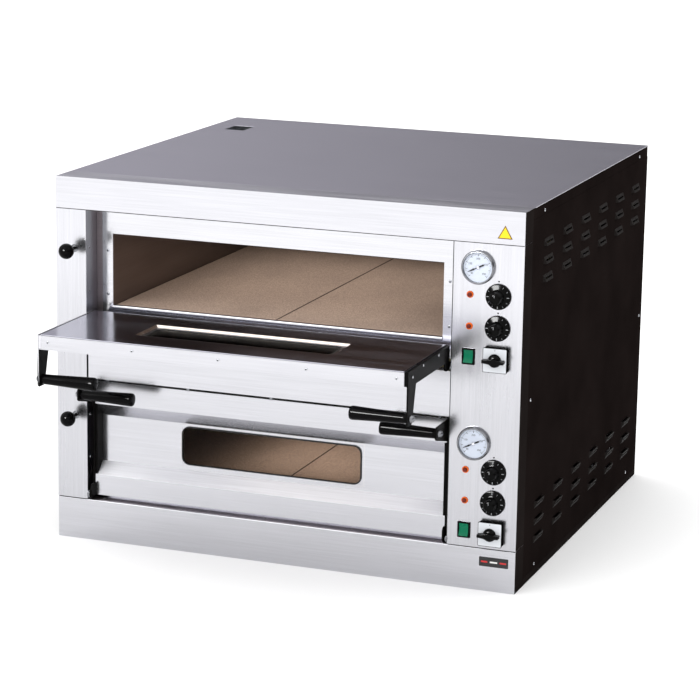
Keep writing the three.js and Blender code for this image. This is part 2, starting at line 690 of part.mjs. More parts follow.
for (const [deck, base] of Object.entries(DECK_BASES)) {
  add(`${deck}_dial_case`, dialCase(DIAL.x, base + DIAL.height), chrome);
  add(`${deck}_dial_needle`, dialNeedle(DIAL.x, base + DIAL.height), blackPlastic);
  for (const [heat, height] of Object.entries(KNOB_HEIGHTS)) {
    add(`${deck}_${heat}_heat_knob`, thermostatKnob(KNOB_X, base + height), blackPlastic);
    add(`${deck}_${heat}_heat_lamp`, indicatorLamp(LAMP_X, base + height), orange);
  }
  add(`${deck}_light_rocker`, rockerKey(LAMP_X, base + SWITCH_HEIGHT), green);
  add(`${deck}_main_switch_plate`, camPlate(KNOB_X, base + SWITCH_HEIGHT), palePlate);
  add(`${deck}_main_switch_lever`, camLever(KNOB_X, base + SWITCH_HEIGHT), blackPlastic);
}

// ---------------------------------------------------------------- mains inlet

function cableGland() {
  const face = back - PANEL - GAP;
  const { x, z } = GLAND;
  const nut = new THREE.CylinderGeometry(15, 15, 7, 6).translate(x, face + 3.5 + GAP, z);
  const dome = turnedY([
    [0, face - 14], [9.8, face - 14], [9.8, face + 1], [12.5, face + 1], [12.5, face + 12],
    [10, face + 17], [0, face + 18],
  ], x, z, 16);
  return cut(join(nut, dome), rodY(x, z, 6, face - 20, face + 25));
}

function terminalBlock() {
  const foot = PANEL + GAP;
  const body = box(395, 465, 395, 425, foot, foot + 22);
  const screws = [0, 1, 2, 3, 4].map((i) => {
    const hole = new THREE.CylinderGeometry(3, 3, 8, 10).rotateX(Math.PI / 2);
    return hole.translate(403 + i * 13.5, 410, foot + 22);
  });
  return cut(body, ...screws);
}

add('cable_gland', cableGland(), blackPlastic);
add('terminal_block', terminalBlock(), palePlate);

export default oven;
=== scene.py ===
import json
import math

import bmesh
import bpy
from mathutils import Matrix, Vector

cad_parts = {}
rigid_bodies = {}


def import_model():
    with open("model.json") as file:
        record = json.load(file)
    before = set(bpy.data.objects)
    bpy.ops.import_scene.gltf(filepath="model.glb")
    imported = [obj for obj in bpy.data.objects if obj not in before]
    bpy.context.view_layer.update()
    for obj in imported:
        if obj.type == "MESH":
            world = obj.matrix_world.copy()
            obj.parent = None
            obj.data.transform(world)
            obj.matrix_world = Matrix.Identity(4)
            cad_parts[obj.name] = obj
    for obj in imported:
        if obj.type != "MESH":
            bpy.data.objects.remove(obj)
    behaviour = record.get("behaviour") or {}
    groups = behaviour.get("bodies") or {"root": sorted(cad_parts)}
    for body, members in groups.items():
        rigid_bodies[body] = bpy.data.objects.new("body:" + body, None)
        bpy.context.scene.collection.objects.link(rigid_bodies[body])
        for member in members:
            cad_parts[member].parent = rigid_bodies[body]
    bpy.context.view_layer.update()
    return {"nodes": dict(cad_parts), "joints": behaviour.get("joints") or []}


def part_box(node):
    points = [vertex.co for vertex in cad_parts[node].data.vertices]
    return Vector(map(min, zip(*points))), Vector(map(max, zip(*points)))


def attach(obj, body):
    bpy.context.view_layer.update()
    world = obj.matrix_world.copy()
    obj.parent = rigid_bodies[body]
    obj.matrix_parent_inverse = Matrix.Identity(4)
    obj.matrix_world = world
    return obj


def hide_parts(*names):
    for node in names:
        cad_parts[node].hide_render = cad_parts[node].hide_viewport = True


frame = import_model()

NODES = frame["nodes"]
DECKS = ("lower", "upper")
MM = 0.001
X, Y, Z = Vector((1, 0, 0)), Vector((0, 1, 0)), Vector((0, 0, 1))
OUT = -Y  # out of the oven's front


def low(node):
    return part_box(node)[0]


def high(node):
    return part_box(node)[1]


def middle(node):
    return (low(node) + high(node)) / 2


FRONT = low("control_panel").y
DECK_BASE = {"lower": high("front_bottom_band").z, "upper": high("middle_fascia").z}
HINGE = {j["child"]: Vector(j["pos_m"]) for j in frame["joints"] if j["name"].endswith("door_hinge")}

# Sizes in millimetres.
VENT_RADIUS = 15.5
VENT_HEIGHT = 175  # ball's centre above the deck's base
LOUVRE_PROUD = 6
FRAME_SETBACK = 50  # chamber frame's face behind the oven's front
DOOR_TOP = 236.5  # door's edge above the hinge axis
DOOR_MIDDLE = 24  # middle of the door's thickness behind the hinge axis
END_PLATE = 24  # cheek's end plate in front of the hinge axis, where its arm begins
WINDOW_HEIGHT = 115.5  # window's centre above the hinge axis
FLAT = 0.9  # least cosine between a face's normal and the way it is said to face


def door_frame(deck):
    """Hinge point and the door's own outward and upward directions, as the door now stands."""
    pivot = HINGE[f"{deck}_door"]
    if deck == "upper":
        return pivot, -Z, -Y
    return pivot, -Y, Z


# ---------------------------------------------------------------- materials

def linear(r, g, b):
    """Scene-linear colour from the usual 0 to 255 display values."""
    channels = [c / 255 for c in (r, g, b)]
    return [c / 12.92 if c <= 0.04045 else ((c + 0.055) / 1.055) ** 2.4 for c in channels]


def scaled(color, factor):
    return (*[min(1.0, c * factor) for c in color], 1.0)


class Surface:
    """A Principled material whose colour, roughness and relief come from noise in object space."""

    def __init__(self, name, color, roughness, **shader):
        self.material = bpy.data.materials.new(name)
        self.material.use_nodes = True
        self.tree = self.material.node_tree
        self.bsdf = self.tree.nodes["Principled BSDF"]
        self.color = linear(*color)
        self.roughness = roughness
        self.bsdf.inputs["Base Color"].default_value = (*self.color, 1)
        self.bsdf.inputs["Roughness"].default_value = roughness
        for socket, value in shader.items():
            self.bsdf.inputs[socket.replace("_", " ")].default_value = value
        self.coordinates = self.node("ShaderNodeTexCoord").outputs["Object"]
        self.normal = None

    def node(self, kind, **settings):
        made = self.tree.nodes.new(kind)
        for key, value in settings.items():
            setattr(made, key, value)
        return made

    def link(self, source, target):
        self.tree.links.new(source, target)

    def noise(self, scale, stretch=(1, 1, 1), detail=4.0):
        mapping = self.node("ShaderNodeMapping")
        mapping.inputs["Scale"].default_value = stretch
        self.link(self.coordinates, mapping.inputs["Vector"])
        texture = self.node("ShaderNodeTexNoise")
        texture.inputs["Scale"].default_value = scale
        texture.inputs["Detail"].default_value = detail
        self.link(mapping.outputs["Vector"], texture.inputs["Vector"])
        return texture.outputs["Fac"]

    def remap(self, value, start, end, span=(0.3, 0.7)):
        node = self.node("ShaderNodeMapRange")
        node.inputs["From Min"].default_value = span[0]
        node.inputs["From Max"].default_value = span[1]
        node.inputs["To Min"].default_value = start
        node.inputs["To Max"].default_value = end
        self.link(value, node.inputs["Value"])
        return node.outputs["Result"]

    def tint(self, value, dark, light, span=(0.3, 0.7)):
        ramp = self.node("ShaderNodeValToRGB")
        ramp.color_ramp.elements[0].position = span[0]
        ramp.color_ramp.elements[1].position = span[1]
        ramp.color_ramp.elements[0].color = scaled(self.color, dark)
        ramp.color_ramp.elements[1].color = scaled(self.color, light)
        self.link(value, ramp.inputs["Fac"])
        self.link(ramp.outputs["Color"], self.bsdf.inputs["Base Color"])

    def shade_upward(self, painted_foot_shade, start, end):
        """Painted shade: multiplies the colour by a tone that rises to full between two heights, in
        metres, so the foot is darker.
        """
        height = self.node("ShaderNodeSeparateXYZ")
        self.link(self.coordinates, height.inputs["Vector"])
        tone = self.node("ShaderNodeMapRange", interpolation_type="SMOOTHSTEP")
        for socket, value in (("From Min", start), ("From Max", end), ("To Min", painted_foot_shade)):
            tone.inputs[socket].default_value = value
        self.link(height.outputs["Z"], tone.inputs["Value"])
        self.multiply(tone.outputs["Result"], 1)

    def multiply(self, value, share):
        """Multiplies the colour so far by a value, by a share from 0 to 1."""
        color = self.bsdf.inputs["Base Color"]
        mix = self.node("ShaderNodeMix", data_type="RGBA", blend_type="MULTIPLY")
        mix.inputs["Factor"].default_value = share
        self.link(color.links[0].from_socket, mix.inputs["A"])
        self.link(value, mix.inputs["B"])
        self.link(mix.outputs["Result"], color)

    def polish(self, value, swing):
        rough = self.remap(value, max(0.02, self.roughness - swing), self.roughness + swing)
        self.link(rough, self.bsdf.inputs["Roughness"])
        return self

    def relief(self, value, strength, depth_mm):
        bump = self.node("ShaderNodeBump")
        bump.inputs["Strength"].default_value = strength
        bump.inputs["Distance"].default_value = depth_mm * MM
        self.link(value, bump.inputs["Height"])
        if self.normal is not None:
            self.link(self.normal, bump.inputs["Normal"])
        self.normal = bump.outputs["Normal"]
        self.link(self.normal, self.bsdf.inputs["Normal"])
        return self


def brushed(name, color, roughness, along, relief=0.12, swing=0.05, painted_foot_shade=1):
    """Sheet steel with fine lines along one axis, faint rolling streaks and, if asked, painted shade
    that darkens its foot.
    """
    surface = Surface(name, color, roughness, Metallic=1.0)
    lines = tuple(0.015 if axis == along else 1.0 for axis in "XYZ")
    streaks = tuple(0.12 if axis == along else 1.0 for axis in "XYZ")
    fine = surface.noise(420, lines, 5)
    broad = surface.noise(28, streaks, 4)
    surface.tint(fine, 0.93, 1.04)
    if painted_foot_shade < 1:
        surface.shade_upward(painted_foot_shade, 0.30, 0.66)
    surface.polish(broad, swing)
    return surface.relief(fine, relief, 0.05).material


def painted(name, color, roughness, grain=700, relief=0.1, tint=0.12, **shader):
    """Powder coat, moulded plastic or stoved enamel: a fine even grain."""
    surface = Surface(name, color, roughness, **shader)
    fine = surface.noise(grain, detail=2)
    cloud = surface.noise(9, detail=5)
    surface.tint(cloud, 1 - tint, 1 + tint)
    surface.polish(cloud, 0.04)
    return surface.relief(fine, relief, 0.08).material


def chromed(name, color, roughness):
    """Plated or polished metal with a faint haze."""
    surface = Surface(name, color, roughness, Metallic=1.0)
    haze = surface.noise(160, detail=3)
    surface.tint(haze, 0.96, 1.02)
    return surface.polish(haze, 0.03).relief(haze, 0.03, 0.05).material


def cordierite(name):
    """Fired baking stone: beige with dark and pale specks, fine pits and faint browning."""
    surface = Surface(name, (198, 173, 155), 0.88)
    specks = surface.noise(420, detail=2)
    cloud = surface.noise(7, (1, 0.6, 1), 6)
    surface.tint(cloud, 0.86, 1.08)
    surface.multiply(surface.remap(specks, 0.0, 1.0, (0.42, 0.62)), 0.35)
    return surface.relief(specks, 0.35, 0.25).material


def window_glass(name, tint, ior):
    """Thin pane: clear with a tint, glossy by Fresnel."""
    surface = Surface(name, (40, 36, 32), 0.03)
    clear = surface.node("ShaderNodeBsdfTransparent")
    clear.inputs["Color"].default_value = (*tint, 1)
    gloss = surface.node("ShaderNodeBsdfGlossy")
    smear = surface.noise(14, detail=5)
    surface.link(surface.remap(smear, 0.02, 0.06), gloss.inputs["Roughness"])
    fresnel = surface.node("ShaderNodeFresnel")
    fresnel.inputs["IOR"].default_value = ior
    blend = surface.node("ShaderNodeMixShader")
    surface.link(fresnel.outputs["Fac"], blend.inputs["Fac"])
    surface.link(clear.outputs["BSDF"], blend.inputs[1])
    surface.link(gloss.outputs["BSDF"], blend.inputs[2])
    output = surface.tree.nodes["Material Output"]
    surface.link(blend.outputs["Shader"], output.inputs["Surface"])
    return surface.material


# The front steels carry painted shade at their foot: darker towards the bottom, where they mirror the
# floor that the oven shades.
STEEL_X = brushed("stainless_lengthwise", (208, 208, 213), 0.22, "X", painted_foot_shade=0.84)
STEEL_Z = brushed("stainless_upright", (209, 209, 214), 0.24, "Z", painted_foot_shade=0.78)
MIRROR_STEEL = brushed("stainless_bright", (208, 208, 212), 0.16, "X", 0.06, 0.04)
DOOR_STEEL = brushed("stainless_door_back", (206, 206, 218), 0.19, "X", 0.05, 0.06)
# Painted light: a brighter copy of the door's steel for the slants that face upward.
LIT_SLANT_STEEL = brushed("stainless_slant_painted_light", (246, 246, 250), 0.5, "X", 0.06)
DOOR_EDGE = brushed("stainless_edge", (212, 212, 217), 0.3, "X", 0.06)
# Painted shade: a darker copy of the steel for the jamb faces inside the recess.
SHADED_JAMB_STEEL = brushed("stainless_jamb_painted_shade", (132, 133, 138), 0.3, "Z", 0.08)
# Painted light: a brighter, warmer copy of the steel for the window frame's rim and slope.
WARM_LIT_STEEL = brushed("stainless_warm_painted_light", (246, 236, 226), 0.25, "X", 0.05)
# Painted shade: a darker copy of the steel for the ledge and the frame flanges in the recess.
SHADED_STEEL = brushed("stainless_shaded", (150, 140, 143), 0.35, "X", 0.1)
# Painted reflection: dark paint for the steel's side returns, standing for the dark surroundings they
# mirror; the base pan uses it too.
PAINTED_SHADE_BLACK = painted("return_shaded", (31, 27, 26), 0.6, 900, 0.15, 0.2, Specular_IOR_Level=0.0)
TOP_STEEL = brushed("stainless_top", (200, 198, 208), 0.22, "X", 0.02, 0.01)
LINER = brushed("liner_steel", (140, 130, 128), 0.42, "Y", 0.15, 0.08)
ZINC = brushed("zinc_sheet", (176, 180, 184), 0.42, "Z", 0.2, 0.1)
ELEMENT = brushed("element_sheath", (84, 78, 74), 0.45, "X", 0.2)
CASING = painted("casing_black", (26, 21, 20), 0.6, 900, 0.22, 0.2, Specular_IOR_Level=0.0)
# Painted light: a slightly lighter copy of the casing's black for the louvre hoods.
LIT_LOUVRE_BLACK = painted("louvre_black_painted_light", (31, 28, 27), 0.5, 900, 0.2, 0.2, Specular_IOR_Level=0.02)
CHEEK = painted("cheek_black", (14, 13, 13), 0.3, 900, 0.15, Specular_IOR_Level=0.02)
MATT_BLACK = painted("moulded_matt", (12, 12, 12), 0.6, 900, 0.1, 0.1, Specular_IOR_Level=0.0)
MOULDED = painted("moulded_black", (8, 8, 8), 0.12, 600, 0.02, 0.1, Specular_IOR_Level=0.05)
GRIP = painted("grip_black", (7, 6, 7), 0.1, 500, 0.01, 0.1, Specular_IOR_Level=0.05)
PALE = painted("pale_plastic", (214, 217, 222), 0.4, 500, 0.05, 0.04)
MARK_WHITE = painted("printed_white", (226, 226, 224), 0.5, 900, 0.03, 0.03)
MARK_GREY = painted("printed_grey", (150, 152, 156), 0.5, 900, 0.03, 0.03)
MARK_BLACK = painted("printed_black", (22, 22, 24), 0.5, 900, 0.03, 0.03)
DIAL_WHITE = painted("dial_white", (214, 222, 234), 0.45, 400, 0.02, 0.02)
GREEN = painted("green_key", (0, 106, 74), 0.3, 500, 0.03, 0.1, Specular_IOR_Level=0.15)
ORANGE = painted("orange_lens", (104, 26, 8), 0.1, 300, 0.03, 0.1, Specular_IOR_Level=0.3)
AMBER = painted("amber_rim", (226, 96, 18), 0.25, 300, 0.03, 0.1, Specular_IOR_Level=0.2)
YELLOW = painted("yellow_label", (250, 214, 10), 0.4, 500, 0.02, 0.04)
BROWN = painted("label_edge", (120, 84, 10), 0.45, 500, 0.02, 0.04)
RED = painted("red_label", (196, 28, 30), 0.35, 500, 0.02, 0.05)
WOOL = painted("mineral_wool", (196, 184, 140), 0.95, 260, 0.9, 0.2)
# Black seal for the window gaskets; the same black is painted shade in the screws' recesses and painted
# shadow in the fascia's gaps.
SEAL_AND_PAINTED_SHADE = painted("black_seal_and_painted_shade", (20, 19, 19), 0.6, 700, 0.1, 0.1)
CHROME = chromed("chrome_plate", (226, 228, 232), 0.08)
BEZEL = chromed("dial_bezel", (124, 125, 129), 0.2)
STONE_JOINT = painted("stone_joint", (60, 46, 40), 0.9, 400, 0.3, 0.2)
ZINC_BRIGHT = chromed("bright_zinc", (200, 202, 206), 0.2)
STONE = cordierite("baking_stone")
GLASS = window_glass("window_glass", (0.88, 0.85, 0.82), 1.1)
DIAL_GLASS = window_glass("dial_glass", (0.98, 0.98, 0.99), 1.15)


# ---------------------------------------------------------------- carried-over CAD nodes

def crisp(mesh, degrees=32):
    """Smooth faces with sharp edges where the surface turns by more than the angle."""
    for polygon in mesh.polygons:
        polygon.use_smooth = True
    mesh.set_sharp_from_angle(angle=math.radians(degrees))


def dress(node, material, edge_mm=0.35, degrees=26):
    """A CAD node keeps its mesh and gets a material, welded seams and softened edges."""
    obj = NODES[node]
    mesh = obj.data
    mesh.materials.clear()
    mesh.materials.append(material)
    if "custom_normal" in mesh.attributes:
        mesh.attributes.remove(mesh.attributes["custom_normal"])
    for polygon in mesh.polygons:
        polygon.use_smooth = True
    weld = obj.modifiers.new("weld", "WELD")
    weld.merge_threshold = 0.01 * MM
    if edge_mm:
        bevel = obj.modifiers.new("edge", "BEVEL")
        bevel.width = edge_mm * MM
        bevel.segments = 2
        bevel.limit_method = "ANGLE"
        bevel.angle_limit = math.radians(degrees)
    split = obj.modifiers.new("split", "EDGE_SPLIT")
    split.split_angle = math.radians(degrees)
    weighted = obj.modifiers.new("normals", "WEIGHTED_NORMAL")
    weighted.weight = 100


def repaint(node, material, wanted):
    """Adds a material to a dressed node, for the faces that pass the test."""
    mesh = NODES[node].data
    mesh.materials.append(material)
    for face in mesh.polygons:
        if wanted(face):
            face.material_index = len(mesh.materials) - 1


def dress_all():
    """Every CAD node that stays visible."""
    plain = {
        "base_pan": PAINTED_SHADE_BLACK, "side_panel_right": CASING, "side_panel_left": CASING,
        "top_cover": TOP_STEEL, "rear_panel": ZINC, "front_top_band": STEEL_X,
        "front_bottom_band": STEEL_X, "left_stile": STEEL_Z, "control_panel": STEEL_Z,
        "middle_fascia": STEEL_X, "chamber_insulation": WOOL, "flue_duct": ZINC,
        "cable_gland": MOULDED, "terminal_block": PALE,
    }
    for deck in DECKS:
        plain.update({
            f"{deck}_chamber_frame": MIRROR_STEEL, f"{deck}_chamber_liner": LINER,
            f"{deck}_left_stone": STONE, f"{deck}_right_stone": STONE,
            f"{deck}_bottom_element": ELEMENT, f"{deck}_top_element": ELEMENT,
            f"{deck}_door_outer_skin": STEEL_X, f"{deck}_door_inner_skin": DOOR_STEEL,
            f"{deck}_door_glass": GLASS, f"{deck}_door_left_cheek": CHEEK,
            f"{deck}_door_right_cheek": CHEEK,
        })
    for node, material in plain.items():
        dress(node, material)


def repaint_faces():
    """Louvres in painted light, side returns in painted reflection, the recess's jamb and ledge in
    painted shade, the doors' slants in painted light, and the doors' bare edges.
    """
    for node in ("side_panel_left", "side_panel_right"):
        # Painted light: the louvre hoods get the lighter black.
        skin = max(abs(low(node).x), abs(high(node).x)) - (LOUVRE_PROUD - 0.3) * MM
        repaint(node, LIT_LOUVRE_BLACK, lambda face: abs(face.center.x) > skin)
    # The fascia's stainless side returns get the dark paint as painted reflection of their dark
    # surroundings.
    wrap = high("front_bottom_band").x - 0.2 * MM
    for node in ("front_top_band", "front_bottom_band", "left_stile", "control_panel"):
        repaint(node, PAINTED_SHADE_BLACK,
                lambda face: abs(face.center.x) > wrap and abs(face.normal.x) > FLAT)
    jamb = FRONT + 2 * MM
    # Painted shade: the stile's jamb faces get the darker steel.
    repaint("left_stile", SHADED_JAMB_STEEL, lambda face: face.normal.x > FLAT and face.center.y > jamb)
    ledge = DECK_BASE["lower"] - 2 * MM
    # Painted shade: the ledge on the bottom band gets the darker steel.
    repaint("front_bottom_band", SHADED_STEEL,
            lambda face: face.normal.z > 0.95 and face.center.z > ledge)
    for deck in DECKS:
        pivot, out, up = door_frame(deck)
        # Painted light: the upward-facing slants get the brighter steel.
        repaint(f"{deck}_door_outer_skin", LIT_SLANT_STEEL,
                lambda face: 0.3 < face.normal.dot(up) < 0.95)

        def bare_edge(face):
            at_plate = (face.center - pivot).dot(out) < END_PLATE * MM
            return face.normal.dot(out) < -FLAT or (face.normal.dot(up) > FLAT and at_plate)

        repaint(f"{deck}_door_left_cheek", DOOR_EDGE, bare_edge)


dress_all()
repaint_faces()


# ---------------------------------------------------------------- mesh helpers

def across(axis):
    """Two directions that make a right-handed frame with the axis."""
    helper = Z if abs(axis.z) < 0.9 else X
    first = helper.cross(axis).normalized()
    return first, axis.cross(first)


def lathe(bm, profile, origin, axis, steps=40, slot=0):
    """Turns a profile of [radius, distance along the axis], in millimetres, about the axis."""
    first, second = across(axis)
    rings = []
    for radius, along in profile:
        centre = origin + axis * (along * MM)
        if radius < 1e-6:
            rings.append([bm.verts.new(centre)] * steps)
            continue
        ring = []
        for i in range(steps):
            angle = 2 * math.pi * i / steps
            arm = first * math.cos(angle) + second * math.sin(angle)
            ring.append(bm.verts.new(centre + arm * (radius * MM)))
        rings.append(ring)
    for one, two in zip(rings, rings[1:]):
        for i in range(steps):
            j = (i + 1) % steps
            corners = []
            for vert in (one[i], one[j], two[j], two[i]):
                if vert not in corners:
                    corners.append(vert)
            if len(corners) > 2:
                bm.faces.new(corners).material_index = slot


def prism(bm, outline, depth, slot=0):
    """A closed outline of points, in metres, pushed through by the depth vector."""
    near = [bm.verts.new(p) for p in outline]
    far = [bm.verts.new(p + depth) for p in outline]
    faces = [bm.faces.new(near), bm.faces.new(far[::-1])]
    for i in range(len(near)):
        j = (i + 1) % len(near)
        faces.append(bm.faces.new((near[i], far[i], far[j], near[j])))
    for face in faces:
        face.material_index = slot


def rounded(width, height, radius, steps=5):
    """Outline of a rounded rectangle about the origin, as (right, up) pairs in millimetres."""
    points = []
    corners = ((1, -1, -90), (1, 1, 0), (-1, 1, 90), (-1, -1, 180))
    for sx, sz, start in corners:
        cx, cz = sx * (width / 2 - radius), sz * (height / 2 - radius)
        for i in range(steps + 1):
            angle = math.radians(start + 90 * i / steps)
            points.append((cx + radius * math.cos(angle), cz + radius * math.sin(angle)))
    return points


def facing(pairs, centre, right=X, up=Z):
    """Places (right, up) pairs in millimetres about a centre."""
    return [centre + right * (a * MM) + up * (b * MM) for a, b in pairs]


def join_loops(bm, loops, slots):
    """Bridges neighbouring loops of equally many vertices, with a material slot for each bridge."""
    for one, two, slot in zip(loops, loops[1:], slots):
        for i in range(len(one)):
            j = (i + 1) % len(one)
            bm.faces.new((one[i], one[j], two[j], two[i])).material_index = slot


def ring(bm, outer, inner, centre, depth, right, up):
    """A flat frame between two rounded rectangles, pushed through by the depth vector."""
    loops = []
    for size, shift in ((outer, 0), (outer, 1), (inner, 1), (inner, 0)):
        start = centre + depth * shift
        loops.append([bm.verts.new(p) for p in facing(rounded(*size), start, right, up)])
    join_loops(bm, loops + loops[:1], (0, 0, 0, 0))


def plank(bm, start, end):
    """A box between two opposite corners."""
    lo = Vector([min(a, b) for a, b in zip(start, end)])
    hi = Vector([max(a, b) for a, b in zip(start, end)])
    outline = [Vector((x, lo.y, z)) for x, z in ((lo.x, lo.z), (hi.x, lo.z), (hi.x, hi.z), (lo.x, hi.z))]
    prism(bm, outline, Y * (hi.y - lo.y))


def spoke(degrees):
    """Direction on the oven's front, counted anticlockwise from its right."""
    angle = math.radians(degrees)
    return X * math.cos(angle) + Z * math.sin(angle)


def tick(bm, foot, degrees, inner, outer, half_width, rise, slot=0):
    """A thin radial mark on a round face, with its sizes in millimetres."""
    arm = spoke(degrees)
    side = Y.cross(arm) * (half_width * MM)
    near, far = foot + arm * (inner * MM), foot + arm * (outer * MM)
    prism(bm, [near - side, near + side, far + side, far - side], OUT * (rise * MM), slot)


def yz(point):
    return Vector((0, point.y, point.z))


def on_front(node):
    """The node's middle, brought onto the plane of the oven's front."""
    return Vector((middle(node).x, FRONT, middle(node).z))


def piece(name, bm, materials, body, edge_mm=0.0, degrees=35, stands_for=()):
    """Finishes a bmesh as a named piece that rides on a CAD body."""
    bmesh.ops.remove_doubles(bm, verts=bm.verts, dist=1e-7)
    bmesh.ops.recalc_face_normals(bm, faces=bm.faces)
    mesh = bpy.data.meshes.new(name)
    bm.to_mesh(mesh)
    bm.free()
    for material in materials if isinstance(materials, (list, tuple)) else [materials]:
        mesh.materials.append(material)
    crisp(mesh, degrees)
    obj = bpy.data.objects.new(name, mesh)
    bpy.context.scene.collection.objects.link(obj)
    if edge_mm:
        bevel = obj.modifiers.new("edge", "BEVEL")
        bevel.width = edge_mm * MM
        bevel.segments = 3
        bevel.limit_method = "ANGLE"
        bevel.angle_limit = math.radians(degrees)
    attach(obj, body)
    if stands_for:
        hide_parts(*stands_for)
    return obj


def screw(bm, centre, axis, radius):
    """Pan head with its recess in painted shade, seated on the surface at centre."""
    height = radius * 0.55
    lathe(bm, [(radius, -0.2), (radius, height * 0.3), (radius * 0.8, height * 0.75),
               (radius * 0.46, height)], centre, axis, 20)
    # The recess is coloured black: painted shade.
    lathe(bm, [(radius * 0.46, height), (radius * 0.42, height * 0.5), (0, height * 0.35)],
          centre, axis, 20, 1)


def screws(name, places, axis, body, radius):
    bm = bmesh.new()
    for place in places:
        screw(bm, place, axis, radius)
    return piece(name, bm, [ZINC_BRIGHT, SEAL_AND_PAINTED_SHADE], body)


# ---------------------------------------------------------------- camera, floor and light

def make_camera():
    """A long lens from the front, to the oven's right and above it, with a slight roll."""
    place = Vector((1.848, -5.077, 1.600))
    yaw, pitch, roll = (math.radians(a) for a in (-20.287, 13.129, 0.912))
    ahead = Vector((math.sin(yaw) * math.cos(pitch), math.cos(yaw) * math.cos(pitch), -math.sin(pitch)))
    right = Vector((math.cos(yaw), -math.sin(yaw), 0))
    up = right.cross(ahead)
    rolled_right = right * math.cos(roll) + up * math.sin(roll)
    rolled_up = up * math.cos(roll) - right * math.sin(roll)
    rotation = Matrix((rolled_right, rolled_up, -ahead)).transposed()
    data = bpy.data.cameras.new("camera")
    data.lens = 133.76
    data.sensor_width = 36
    data.clip_end = 200
    camera = bpy.data.objects.new("camera", data)
    camera.matrix_world = Matrix.Translation(place) @ rotation.to_4x4()
    bpy.context.scene.collection.objects.link(camera)
    bpy.context.scene.camera = camera


def make_floor():
    """A wide pale disc that the oven stands on."""
    radius, sides = 60, 48
    turns = [2 * math.pi * i / sides for i in range(sides)]
    bm = bmesh.new()
    bm.faces.new([bm.verts.new((radius * math.cos(a), radius * math.sin(a), 0)) for a in turns])
    mesh = bpy.data.meshes.new("floor")
    bm.to_mesh(mesh)
    bm.free()
    mesh.materials.append(painted("floor_white", (252, 252, 252), 0.9, 20, 0.0, 0.0))
    floor = bpy.data.objects.new("floor", mesh)
    bpy.context.scene.collection.objects.link(floor)


def area_light(name, place, target, size, power, color=(1, 1, 1)):
    """A rectangular lamp at one point, aimed at another."""
    data = bpy.data.lights.new(name, "AREA")
    data.shape = "RECTANGLE"
    data.size, data.size_y = size
    data.energy = power
    data.color = color
    lamp = bpy.data.objects.new(name, data)
    lamp.location = place
    lamp.rotation_euler = (Vector(target) - Vector(place)).to_track_quat("-Z", "Y").to_euler()
    bpy.context.scene.collection.objects.link(lamp)
    return lamp


def make_world():
    """A bright studio dome whose lower part greys behind the oven and to its right."""
    world = bpy.data.worlds.new("studio")
    bpy.context.scene.world = world
    world.use_nodes = True
    tree = world.node_tree

    def node(kind, **settings):
        made = tree.nodes.new(kind)
        for key, value in settings.items():
            setattr(made, key, value)
        return made

    way = node("ShaderNodeTexCoord").outputs["Generated"]

    def toward(direction, start, end):
        dot = node("ShaderNodeVectorMath", operation="DOT_PRODUCT")
        dot.inputs[1].default_value = direction
        tree.links.new(way, dot.inputs[0])
        ramp = node("ShaderNodeMapRange", interpolation_type="SMOOTHSTEP")
        ramp.inputs["From Min"].default_value = start
        ramp.inputs["From Max"].default_value = end
        tree.links.new(dot.outputs["Value"], ramp.inputs["Value"])
        return ramp.outputs["Result"]

    def blend(factor, first, second):
        mix = node("ShaderNodeMix", data_type="RGBA")
        tree.links.new(factor, mix.inputs["Factor"])
        for socket, value in (("A", first), ("B", second)):
            if isinstance(value, tuple):
                mix.inputs[socket].default_value = (*value, 1)
            else:
                tree.links.new(value, mix.inputs[socket])
        return mix.outputs["Result"]

    wall = blend(toward((0.90, 0.43, 0), -0.12, 0.30), (0.42, 0.41, 0.46), (0.12, 0.115, 0.13))
    room = blend(toward((0, 1, 0), 0.1, 0.5), (1.2, 1.2, 1.2), wall)
    room = blend(toward((1, 0, 0), 0.45, 0.85), room, (0.07, 0.07, 0.08))
    sky = blend(toward((0, 0, 1), 0.28, 0.5), room, (1.62, 1.62, 1.62))
    background = tree.nodes["Background"]
    tree.links.new(sky, background.inputs["Color"])
    background.inputs["Strength"].default_value = 1.0


def make_studio():
    """Floor, dome, a large key light and a hidden lamp under each chamber's ceiling."""
    make_floor()
    make_world()
    area_light("key", (-1.5, -3.6, 4.2), (0, 0, 0.4), (3.0, 3.0), 40)
    for deck, side, ahead, size, power, spread in (("upper", 0, 0, 0.6, 0.95, 180),
                                                  ("lower", 0.03, 0.1, 0.28, 0.27, 108)):
        lo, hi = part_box(f"{deck}_chamber_liner")
        place = Vector(((lo.x + hi.x) / 2 + side, (lo.y + hi.y) / 2 - ahead, hi.z - 0.006))
        lamp = area_light(f"{deck}_oven_light", place, place - Z, (size, size), power, (1.0, 0.95, 0.9))
        lamp.data.spread = math.radians(spread)
        lamp.visible_camera = False
        lamp.visible_glossy = False
    bpy.context.scene.view_settings.view_transform = "Standard"


def make_glint():
    """Low soft box that only the glossy black plastics answer to."""
    glint = area_light("glint", (-1.3, -4.0, 1.95), (0, -0.55, 0.35), (1.6, 0.8), 600)
    glint.visible_camera = False
    glint.visible_diffuse = False
    glossy = bpy.data.collections.new("glossy_plastics")
    for thing in bpy.context.scene.objects:
        if thing.type == "MESH" and any(m in (GRIP, MOULDED) for m in thing.data.materials):
            glossy.objects.link(thing)
    glint.light_linking.receiver_collection = glossy


make_camera()
make_studio()


# ---------------------------------------------------------------- controls

